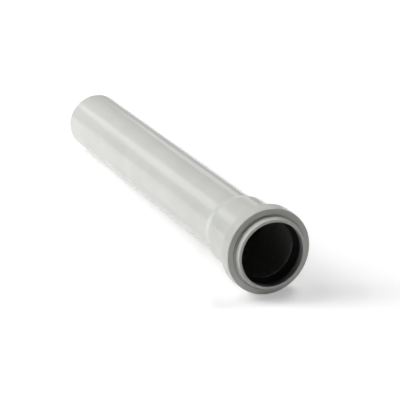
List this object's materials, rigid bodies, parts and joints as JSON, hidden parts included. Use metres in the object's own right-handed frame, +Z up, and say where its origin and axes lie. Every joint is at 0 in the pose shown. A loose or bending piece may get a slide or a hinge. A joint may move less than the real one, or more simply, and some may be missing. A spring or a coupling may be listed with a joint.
{
  "type": "sewer pipe",
  "caption": "Short grey plastic drain pipe with a push-fit socket: a collar, a rounded bead that holds a black rubber lip seal, a sleeve and a taper to the plain spigot end.",
  "frame": {"origin": "on the floor, under the middle of the pipe as it lies at rest on its bead and its spigot end", "axes": "+X from the spigot end towards the socket's mouth, +Z up, +Y to the left of someone who looks along +X; the pipe's own axis rises 1.52 degrees towards the mouth"},
  "size_m": [0.2938, 0.0548, 0.0548],
  "materials": {
    "pipe": "light grey polypropylene with a satin sheen",
    "seal": "black moulded rubber"
  },
  "bodies": {
    "root": {"pipe": "pipe", "lip_seal": "seal"}
  },
  "joints": []
}
